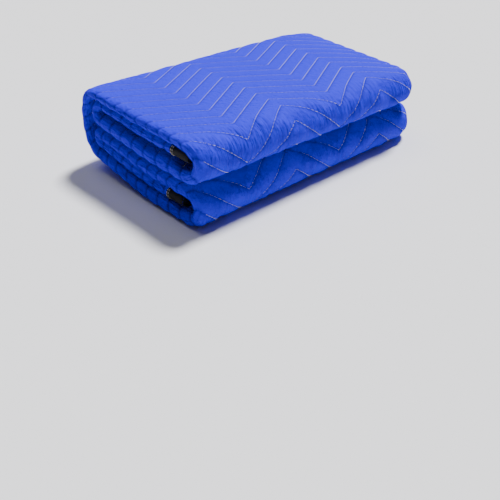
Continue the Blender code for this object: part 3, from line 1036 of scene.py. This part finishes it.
def wrinkles(s, u):
    """Fine folds that run along the strip and lean square to the zigzag's legs.

    Height = mask * (1.2 mm * ridged noise + 1.0 mm * broad noise), both stretched along the strip, where
    ridged is 1 - 2 |noise|. On each leg the noise is read at width -+ 0.45 * strip."""
    leg = smooth(0.5 + LEG_SHARPNESS * np.sin(math.pi * (u - CHEVRON_PEAK_X) / CHEVRON_HALF_PERIOD))
    rise = 0.0
    for share, lean, seed in zip((leg, 1.0 - leg), (-WRINKLE_LEAN, WRINKLE_LEAN), WRINKLE_SEEDS):
        wander = lattice_noise(u / WRINKLE_WANDER_SIZE, s / WRINKLE_WANDER_SIZE, seed + 1)
        across = u + lean * s + WRINKLE_WANDER * wander
        ridges = lattice_noise(across / FINE_WRINKLE_WIDTH, s / FINE_WRINKLE_LENGTH, seed)
        broad = lattice_noise(across / BROAD_WRINKLE_WIDTH, s / BROAD_WRINKLE_LENGTH, seed + 2)
        fine = 1.0 - 2.0 * np.abs(ridges)
        rise = rise + share * (FINE_WRINKLE * fine + BROAD_WRINKLE * broad)
    return wrinkled(s, u) * rise


def outward(weights):
    """The outward direction in the cross-section at each of its points: its part in x and its part in rise.

    It is the section's own direction at the top's middle, turned by a right angle."""
    x, rise = section(weights, MIDDLE_OF_TOP, PLY_GAP)
    step_x, step_rise = np.gradient(x), np.gradient(rise)
    size = np.hypot(step_x, step_rise) + TINY
    return step_rise / size, -step_x / size


class FoldedCloth:
    """The cloth's points on both faces, worked out once and used for the sewing too."""

    def __init__(self, sizes):
        self.outer, self.shown, first_fixed = outer_face()
        self.inner = inner_face()
        self.s, self.channel, self.which, self.seen = strip_rows()
        self.outer_at = developed(self.outer, first_fixed)
        self.inner_at = developed(self.inner, 0)
        self.inner_at += self.outer_at[0] - self.inner_at[0]
        scale = (self.outer_at[-1] - self.outer_at[0]) / (self.inner_at[-1] - self.inner_at[0])
        self.inner_at = self.outer_at[0] + (self.inner_at - self.inner_at[0]) * scale
        self.gap = PLY_GAP + 2 * TAPE_PRESS * taped(self.s)
        x, rise, bent = self.face(self.outer, self.outer_at)
        self.lift_quilting(sizes, x, rise, bent)
        self.outer_points, self.outer_s = strip_point(bent, x, rise), bent
        x, rise, bent = self.face(self.inner, self.inner_at)
        self.inner_points, self.inner_s = strip_point(bent, x, rise), bent

    def face(self, weights, at):
        """x, rise and distance along the strip of one face, each of its rows bent by the chevron."""
        rows = self.s[:, None]
        bent = rows + chevron_share(rows) * chevron(at[None, :])
        bent = np.clip(bent, self.s[0], self.s[-1])
        x, rise = section(weights, bent, self.gap[:, None])
        return x, rise, bent

    def lift_quilting(self, sizes, x, rise, bent):
        """Moves the outer face's points where they show, by the quilting and by the wrinkles.

        A point goes outwards by (quilting - pillow height) * (1 - flatter at the left bends) + wrinkles, all
        of it times 1 - taped, so that the crests keep the face's place and the sewn lines sink."""
        shown = self.shown
        untaped = (1.0 - taped(self.s))[:, None]
        at = self.outer_at[None, shown]
        patch_row = (self.channel % PATCH_CHANNELS) * len(ROW_SHARES) + self.which
        moves = quilt_patch(sizes, self.outer_at[shown])[patch_row] * untaped[:, :, None]
        sunk = (moves[:, :, 2] - sizes.pillow * untaped) * (1.0 - FLATTER_AT_BEND * at_bend(at))
        sunk = sunk + wrinkles(bent[:, shown], at) * untaped
        out_x, out_rise = (part[shown] for part in outward(self.outer))
        x[:, shown] += sunk * out_x + moves[:, :, 0] * np.abs(out_rise)
        rise[:, shown] += sunk * out_rise
        bent[:, shown] += moves[:, :, 1]


# What more than one operator uses, made once.
MADE = {}


def folded_cloth(sizes):
    """The cloth's points, made at the first call."""
    if "cloth" not in MADE:
        MADE["cloth"] = FoldedCloth(sizes)
    return MADE["cloth"]


def sparse_columns(cloth):
    """Numbers of the outer face's points that are kept on a row that lies inside the fold."""
    fixed = (cloth.outer[:, LEFT] == 0) & (cloth.outer[:, RIGHT] == 0)
    away = cloth.outer[:, FIXED_X] > FIXED_COLUMNS[-1] + SPARSE_FROM_LEFT
    return np.flatnonzero(~(fixed & away & (np.cumsum(fixed) % SPARSE_EVERY != 0)))


def number_points(cloth, sparse):
    """Which of the outer points are used, the numbers of the outer points, and those of the inner ones."""
    used = np.zeros((len(cloth.s), len(cloth.outer)), bool)
    used[:, sparse] = True
    used[cloth.seen] = True
    outer = np.full(used.shape, -1)
    outer[used] = np.arange(used.sum())
    inner = np.arange(len(cloth.s) * len(cloth.inner)).reshape(len(cloth.s), -1)
    return used, outer, used.sum() + inner


def cloth_faces(cloth, sparse, outer, inner):
    """Triangles of both faces, and of the rim that joins them. outer and inner are the points' numbers."""
    full = np.arange(len(cloth.outer))
    kept = [full if seen else sparse for seen in cloth.seen]
    changes = np.flatnonzero(np.diff(cloth.seen.astype(int)) != 0) + 1
    faces = []
    for start, stop in zip([0, *changes], [*changes, len(kept)]):
        faces.append(grid_faces(outer[start:stop][:, kept[start]]))
    for row in changes:
        before, after = kept[row - 1], kept[row]
        first, second = outer[row - 1][before], outer[row][after]
        faces.append(bridge(first, second, cloth.outer_at[before], cloth.outer_at[after]))
    faces.append(grid_faces(inner)[:, ::-1])
    for column, order in ((0, 1), (-1, -1)):
        side = np.stack([inner[:, column], outer[:, column]], axis=1)
        faces.append(grid_faces(side)[:, ::order])
    for row, order in ((0, -1), (-1, 1)):
        cap = bridge(outer[row][sparse], inner[row], cloth.outer_at[sparse], cloth.inner_at)
        faces.append(cap[:, ::order])
    return np.vstack(faces)[:, ::-1]


def cloth_values(cloth, used, inner_count):
    """How much painted shade darkens the grooves, and how creased the cloth is, at every point; both 0 on the
    inner face.

    With share from 0 at one sewn line to 1 at the next, the painted shade is 0.6 * (1 - (1 - share) / 0.20),
    and
    0.4 on the line itself. On the left bends it is 0.65 * (1 - distance from the nearer line / 0.13)."""
    share = ROW_SHARES[cloth.which]
    before = SHADE_BEFORE_LINE * np.clip(1.0 - (1.0 - share) / SHADE_BEFORE_REACH, 0.0, 1.0)
    before = before + SHADE_ON_LINE * (share == 0)
    around = np.clip(1.0 - np.minimum(share, 1.0 - share) / SHADE_ON_BEND_REACH, 0.0, 1.0)
    bent = smooth((LEFT_X + SHADE_BEND_FROM - cloth.outer_points[:, :, 0]) / SHADE_BEND_STEP)
    painted_groove_shade = before[:, None] * (1.0 - bent) + SHADE_ON_BEND * around[:, None] * bent
    creased = wrinkled(cloth.outer_s, cloth.outer_at[None, :])
    unseen = np.zeros(inner_count)
    return {
        "painted_groove_shade": np.concatenate([painted_groove_shade[used], unseen]),
        "creased": np.concatenate([creased[used], unseen]),
    }


def cloth_mesh(cloth):
    """One closed surface: both faces as rows of points, with fewer points on the rows that nobody sees."""
    sparse = sparse_columns(cloth)
    used, outer, inner = number_points(cloth, sparse)
    points = np.vstack([cloth.outer_points[used], cloth.inner_points.reshape(-1, 3)])
    uv = np.vstack([
        np.stack([np.broadcast_to(cloth.outer_at, used.shape)[used], cloth.outer_s[used]], axis=1),
        np.stack([np.broadcast_to(cloth.inner_at, inner.shape).ravel(), cloth.inner_s.ravel()], axis=1),
    ])
    faces = cloth_faces(cloth, sparse, outer, inner)
    return points, faces, uv, cloth_values(cloth, used, inner.size)


def stitches(holes, tops, next_holes, normals, radius, share):
    """Short closed tubes of thread, one from each hole towards the next.

    The middle line is the parabola through hole, top and next hole, held just above the cloth in its
    middle and sunk at both ends: lift = radius * (1.25 - 2.2 t ** 4), with t from -1 to 1. share is the part
    of the way from hole to hole that is made."""
    lift = radius * (STITCH_LIFT - STITCH_SINK * STITCH_RINGS**4)
    width = radius * STITCH_WIDTHS
    t = STITCH_RINGS[:, None] * share
    mean = (holes + next_holes) / 2
    half = (next_holes - holes) / 2
    bow = tops - mean
    middle = (
        mean[:, None]
        + half[:, None] * t
        + bow[:, None] * (1.0 - t**2)
        + normals[:, None] * lift[:, None]
    )
    along = half / np.linalg.norm(half, axis=1, keepdims=True)
    side = np.cross(along, normals)
    side /= np.linalg.norm(side, axis=1, keepdims=True)
    up = np.cross(side, along)
    angle = np.linspace(0.0, 2 * math.pi, STITCH_SIDES, endpoint=False)[:, None]
    ring = side[:, None, None] * np.cos(angle) + up[:, None, None] * np.sin(angle)
    points = middle[:, :, None] + ring * width[:, None, None]
    number = np.arange(points.size // 3).reshape(points.shape[:3])
    closed = np.concatenate([number, number[:, :, :1]], axis=2)
    a, b = closed[:, :-1, :-1], closed[:, :-1, 1:]
    c, d = closed[:, 1:, 1:], closed[:, 1:, :-1]
    faces = [(a, b, c), (a, c, d)]
    for end, order in ((number[:, 0], -1), (number[:, -1], 1)):
        first, second = (end[:, 1:-1], end[:, 2:])[::order]
        faces.append((np.broadcast_to(end[:, :1], first.shape), first, second))
    faces = [np.stack(corners, axis=-1).reshape(-1, 3) for corners in faces]
    return points.reshape(-1, 3), np.vstack(faces)[:, ::-1]


def grid_normals(points):
    """Unit normals of a grid of points, rows by columns: the cross product of the steps along and across."""
    across = np.gradient(points, axis=1)
    along = np.gradient(points, axis=0)
    normal = np.cross(across, along)
    return normal / (np.linalg.norm(normal, axis=2, keepdims=True) + TINY)


def from_ends(x):
    """The distance in X from the nearer end of the fold."""
    return np.minimum(x - LEFT_X, LEFT_X + LENGTH - x)


def finish_piece(piece, node):
    """The piece rides with the folded blanket and, where it is named, takes the place of a plain solid."""
    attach(piece, "root")
    if node:
        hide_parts(node)


class BlanketCloth(bpy.types.Operator):
    """Quilted cloth: one sheet folded in four and then back and forth into six panels"""

    bl_idname = "blanket.quilted_cloth"
    bl_label = "Quilted cloth"

    def execute(self, context):
        sizes = context.scene.blanket_sizes
        cloth = folded_cloth(sizes)
        points, faces, uv, values = cloth_mesh(cloth)
        material = woven_polyester(sizes, context.scene.blanket_colours)
        piece = put_mesh("folded_cloth", points, faces, material, uv, values)
        finish_piece(piece, "quilted_cloth")
        return {"FINISHED"}


class BlanketThread(bpy.types.Operator):
    """Quilting thread: rows of white stitches that zigzag over the cloth"""

    bl_idname = "blanket.quilting_thread"
    bl_label = "Quilting thread"

    def execute(self, context):
        sizes = context.scene.blanket_sizes
        cloth = folded_cloth(sizes)
        grid = cloth.outer_points
        normals = grid_normals(grid)
        rows = np.flatnonzero((cloth.which == 0) & (taped(cloth.s) == 0))
        columns = np.arange(cloth.shown.start, cloth.shown.stop - 2, 2)
        row, column = (numbers.ravel() for numbers in np.meshgrid(rows, columns, indexing="ij"))
        shows = cloth.seen[row] | (from_ends(grid[row, column, 0]) < STITCHES_NEAR_END)
        on_ground = grid[row, column, 2] < STITCHES_ABOVE
        on_bend = grid[row, column + 1, 0] < LEFT_X + STITCHES_FROM_LEFT
        keep = shows & ~on_ground & ~on_bend
        row, column = row[keep], column[keep]
        points, faces = stitches(
            grid[row, column],
            grid[row, column + 1],
            grid[row, column + 2],
            normals[row, column + 1],
            sizes.thread,
            sizes.stitch_share,
        )
        colours = context.scene.blanket_colours
        material = spun_thread("spun_polyester_thread", colours.thread, THREAD_SHEEN)
        piece = put_mesh("quilting_thread", points, faces, material)
        finish_piece(piece, None)
        return {"FINISHED"}


def paired_ring():
    """Outer and inner face weights with the same number of points, for the tape over a strip's free end.

    Returns both, and the number of the first point with a fixed X."""
    fixed = FIXED_COLUMNS[::TAPE_COLUMN_EVERY]
    shares = (FIXED_COLUMNS[0] - fixed) / (FIXED_COLUMNS[0] - FIXED_COLUMNS[-1])
    edge = EDGE[:4] + (-TAPE_SET_IN,)
    plain = even(TAPE_PLAIN_STEPS)
    nose = arcs(math.pi, 0.0, TAPE_NOSE_STEPS)
    right_fixed = (0.0, 0.0, 0.0, 0.0, fixed[0])
    left_fixed = (0.0, 0.0, 0.0, 0.0, fixed[-1])

    def face(third, second, first, fourth, fold_radius, inner_radius, outer_radius):
        """One face's weights, and the number of the first with a fixed X. Plies are given by their rise."""
        before_fixed = [
            run(edge, LEFT_CENTRE, plain, *third),
            bend(LEFT_CENTRE, 0.0, inner_radius, nose),
            run(LEFT_CENTRE, FOLD_CENTRE, plain, *second),
            bend(FOLD_CENTRE, 0.25, fold_radius, -nose),
            run(FOLD_CENTRE, right_fixed, (0.0, 0.5), *first),
        ]
        onward = [
            run(right_fixed, left_fixed, shares, *first),
            run(left_fixed, LEFT_CENTRE, (0.5, 1.0), *first),
            bend(LEFT_CENTRE, 0.0, outer_radius, nose[::-1]),
            run(LEFT_CENTRE, edge, plain, *fourth),
        ]
        return np.vstack(before_fixed + onward), sum(len(part) for part in before_fixed)

    outer, first_fixed = face(
        (0.0, -0.5), (0.0, 0.5), (0.5, -0.5), (-0.5, 0.5), (0.25, -0.5), (0.0, 0.5), (0.5, -0.5)
    )
    inner, _ = face(
        (-0.25, 0.5), (0.25, -0.5), (0.25, 0.5), (-0.25, -0.5), (0.0, 0.5), (0.25, -0.5), (0.25, 0.5)
    )
    return outer, inner, first_fixed


def closed_tube(rings):
    """Triangles of a closed surface: through the rings of points, and over the first and last of them.

    rings are rows by ring points by 3. At both ends each point of a ring's first half is joined to the one
    opposite it, counted from the ring's other end."""
    rows, count = rings.shape[:2]
    numbers = np.arange(rows * count).reshape(rows, count)
    faces = [grid_faces(np.concatenate([numbers, numbers[:, :1]], axis=1))]
    for row, order in ((0, 1), (-1, -1)):
        pairs = np.stack([numbers[row], numbers[row, ::-1]], axis=1)[: count // 2]
        faces.append(grid_faces(pairs)[:, ::order])
    return np.vstack(faces)


def tape_material(context):
    """The tape's material, made at the first call."""
    if "tape" not in MADE:
        MADE["tape"] = ribbed_tape(context.scene.blanket_colours)
    return MADE["tape"]


def end_tape(start_side):
    """The tape over one free end of the strip: both faces of every ply, 42 mm deep, rounded over the edge.

    Rows run from the tape's inner edge to the fold over the cloth's edge, where the faces meet. The outer
    face waves by 0.35 mm * sin(210 x + 3 sin(61 x)), most in the middle of the tape's width."""
    outer, inner, first_fixed = paired_ring()
    depth = np.array(END_TAPE_DEPTHS)[:, None]
    share = np.array(END_TAPE_SHARES)[:, None]
    s = depth if start_side else TOTAL - depth
    ply = panel_thickness(s) * (1.0 - TAPE_SQUEEZE) / PLIES
    gap = ply * (1.0 - share) + TAPE_GAP
    x_outer, rise_outer = section(outer, s, gap)
    x_inner, rise_inner = section(inner, s, gap)
    fast, slow = TAPE_WAVE_RATES
    wave = TAPE_WAVE * np.sin(x_outer * fast + TAPE_WAVE_DRIFT * np.sin(x_outer * slow))
    wave = wave * np.sin(math.pi * depth / BINDING_WIDTH)
    outer_points = strip_point(s, x_outer, rise_outer + wave)
    inner_points = strip_point(s, x_inner, rise_inner)
    rings = np.concatenate([outer_points, inner_points[:, ::-1]], axis=1)
    at = developed(outer, first_fixed)
    u, v = np.broadcast_arrays(np.concatenate([at, at[::-1]]), s)
    faces = closed_tube(rings)
    if not start_side:
        faces = faces[:, ::-1]
    return rings.reshape(-1, 3), faces, np.stack([u.ravel(), v.ravel()], axis=1)


class BlanketEndTapes(bpy.types.Operator):
    """End tapes: black tape folded over the cloth's edge at both free ends of the strip"""

    bl_idname = "blanket.end_tapes"
    bl_label = "End tapes"

    def execute(self, context):
        material = tape_material(context)
        for start_side, node in ((True, "end_binding_upper"), (False, "end_binding_lower")):
            points, faces, uv = end_tape(start_side)
            piece = put_mesh(node.replace("binding", "tape"), points, faces, material, uv)
            finish_piece(piece, node)
        return {"FINISHED"}


def tape_rows(start_side, sizes):
    """Two rows of stitches on each face of an end tape, near its inner edge.

    The section is read at the row's depth and stepped evenly. A normal is the outward direction in it."""
    parts = []
    for weights, sign in zip(paired_ring()[:2], (1.0, -1.0)):
        for depth in TAPE_STITCH_DEPTHS:
            s = depth if start_side else TOTAL - depth
            x, rise = section(weights, s, TAPE_GAP)
            at = np.concatenate([[0.0], np.cumsum(np.hypot(np.diff(x), np.diff(rise)))])
            places = np.arange(0.0, at[-1], TAPE_STITCH / 2)
            x, rise = np.interp(places, at, x), np.interp(places, at, rise)
            out_x, out_rise = sign * np.gradient(rise), -sign * np.gradient(x)
            size = np.hypot(out_x, out_rise) / NORMAL_STEP
            line = strip_point(s, x, rise)
            normal = strip_point(s, x + out_x / size, rise + out_rise / size) - line
            normal /= np.linalg.norm(normal, axis=1, keepdims=True)
            line_x = line[:, 0]
            line = line + normal * TAPE_STITCH_LIFT
            hole = np.arange(0, len(line) - 2, 2)
            hole = hole[from_ends(line_x[hole]) < TAPE_STITCHES_WITHIN]
            parts.append(
                stitches(
                    line[hole],
                    line[hole + 1],
                    line[hole + 2],
                    normal[hole + 1],
                    sizes.tape_thread,
                    TAPE_STITCH_SHARE,
                )
            )
    counts = np.cumsum([0] + [len(points) for points, _ in parts])
    points = np.vstack([points for points, _ in parts])
    faces = np.vstack([faces + count for (_, faces), count in zip(parts, counts)])
    return points, faces


class BlanketTapeThread(bpy.types.Operator):
    """Tape thread: two rows of pale grey stitches that hold each end tape"""

    bl_idname = "blanket.tape_thread"
    bl_label = "Tape thread"

    def execute(self, context):
        sizes = context.scene.blanket_sizes
        colours = context.scene.blanket_colours
        material = spun_thread("spun_polyester_tape_thread", colours.tape_thread, TAPE_THREAD_SHEEN)
        for start_side, name in ((True, "tape_thread_upper"), (False, "tape_thread_lower")):
            points, faces = tape_rows(start_side, sizes)
            piece = put_mesh(name, points, faces, material)
            finish_piece(piece, None)
        return {"FINISHED"}


def side_tape(ply_centre):
    """The tape on one ply's edge at the right end, run along the strip.

    Its section is a flat bar whose outer edge is half a circle as thick as the ply."""
    s = np.arange(SIDE_TAPE_SET_IN, TOTAL - SIDE_TAPE_SET_IN, SIDE_TAPE_STEP)[:, None]
    thick = thickness(s)
    half = thick / (2 * PLIES) - TAPE_GAP / 2
    right = right_end(s) - TAPE_SET_IN
    angle = np.linspace(math.pi / 2, -math.pi / 2, SIDE_NOSE_POINTS)
    flat = np.linspace(1.0, 0.0, SIDE_FLAT_STEPS + 1)[:-1]
    x_flat = (right - half) * (1.0 - flat) + (right - BINDING_WIDTH) * flat
    x_nose = (right - half) + half * np.cos(angle)
    x = np.concatenate([x_flat, x_nose, x_flat[:, ::-1]], axis=1)
    up = np.concatenate([np.ones(len(flat)), np.sin(angle), -np.ones(len(flat))])
    up[0], up[-1] = SIDE_INNER_EDGE, -SIDE_INNER_EDGE
    rise = ply_centre * thick + half * up
    rings = strip_point(s, x, rise)
    across = np.concatenate([[0.0], np.cumsum(np.hypot(np.diff(x[0]), np.diff(rise[0])))])
    u, v = np.broadcast_arrays(s, across)
    return rings.reshape(-1, 3), closed_tube(rings), np.stack([u.ravel(), v.ravel()], axis=1)


class BlanketSideTapes(bpy.types.Operator):
    """Side tapes: black tape along the two ply edges at the right end"""

    bl_idname = "blanket.side_tapes"
    bl_label = "Side tapes"

    def execute(self, context):
        material = tape_material(context)
        for ply_centre, node in SIDE_TAPES:
            points, faces, uv = side_tape(ply_centre)
            piece = put_mesh(node.replace("binding", "tape"), points, faces, material, uv)
            finish_piece(piece, node)
        return {"FINISHED"}


def put_aimed(name, data, place, aim):
    """A light or camera at place, with its -Z axis towards aim and its Y axis upwards."""
    holder = bpy.data.objects.new(name, data)
    bpy.context.scene.collection.objects.link(holder)
    holder.location = place
    holder.rotation_mode = "QUATERNION"
    holder.rotation_quaternion = (Vector(aim) - Vector(place)).to_track_quat("-Z", "Y")
    return holder


class BlanketStage(bpy.types.Operator):
    """Stage: a pale floor, two soft lights and the camera"""

    bl_idname = "blanket.stage"
    bl_label = "Stage"

    def execute(self, context):
        scene = context.scene
        side = scene.blanket_sizes.floor / 2
        corners = np.array([[-side, -side], [side, -side], [side, side], [-side, side]])
        corners = np.hstack([corners, np.full((4, 1), -FLOOR_BELOW)])
        floor = put_mesh("floor", corners, np.array([[0, 1, 2, 3]]), studio_floor(scene.blanket_colours))
        scene.world = bpy.data.worlds.new("studio")
        scene.world.use_nodes = True
        background = scene.world.node_tree.nodes["Background"]
        background.inputs["Color"].default_value = (1.0, 1.0, 1.0, 1.0)
        background.inputs["Strength"].default_value = WORLD_STRENGTH
        for name, place, strength, spread in LIGHTS:
            lamp = bpy.data.lights.new(name, "SUN")
            lamp.energy = strength
            lamp.angle = spread
            put_aimed(name, lamp, place, (0.0, 0.0, 0.0))
        camera = bpy.data.cameras.new("camera")
        camera.sensor_width = CAMERA_SENSOR
        camera.lens = CAMERA_LENS
        level = math.cos(CAMERA_ELEVATION)
        ahead = np.array([
            math.sin(CAMERA_AZIMUTH) * level, math.cos(CAMERA_AZIMUTH) * level, -math.sin(CAMERA_ELEVATION)
        ])
        right = np.array([math.cos(CAMERA_AZIMUTH), -math.sin(CAMERA_AZIMUTH), 0.0])
        up = np.cross(right, ahead)
        place = -ahead * CAMERA_BACK - right * CAMERA_LEFT - up * CAMERA_DOWN + np.array([0.0, CAMERA_Y, 0.0])
        scene.camera = put_aimed("camera", camera, place, place + ahead)
        return {"FINISHED"}


class BlanketPanel(bpy.types.Panel):
    """Lists the pieces of the blanket"""

    bl_idname = "VIEW3D_PT_blanket"
    bl_label = "Moving Blanket"
    bl_space_type = "VIEW_3D"
    bl_region_type = "UI"
    bl_category = "Blanket"

    def draw(self, context):
        for group in (context.scene.blanket_sizes, context.scene.blanket_colours):
            box = self.layout.box()
            for key in group.__annotations__:
                box.prop(group, key)
        for piece in PIECES:
            self.layout.operator(piece.bl_idname)


PIECES = (BlanketCloth, BlanketThread, BlanketEndTapes, BlanketTapeThread, BlanketSideTapes, BlanketStage)
CLASSES = (BlanketSizes, BlanketColours, *PIECES, BlanketPanel)


def register():
    """Registers every class and hangs both property groups on the scene."""
    for kind in CLASSES:
        bpy.utils.register_class(kind)
    bpy.types.Scene.blanket_sizes = bpy.props.PointerProperty(type=BlanketSizes)
    bpy.types.Scene.blanket_colours = bpy.props.PointerProperty(type=BlanketColours)


def unregister():
    """Takes back what register did, in the other order."""
    del bpy.types.Scene.blanket_colours
    del bpy.types.Scene.blanket_sizes
    for kind in reversed(CLASSES):
        bpy.utils.unregister_class(kind)


def main():
    register()
    bpy.ops.blanket.quilted_cloth()
    bpy.ops.blanket.quilting_thread()
    bpy.ops.blanket.end_tapes()
    bpy.ops.blanket.tape_thread()
    bpy.ops.blanket.side_tapes()
    bpy.ops.blanket.stage()


if __name__ == "__main__":
    main()
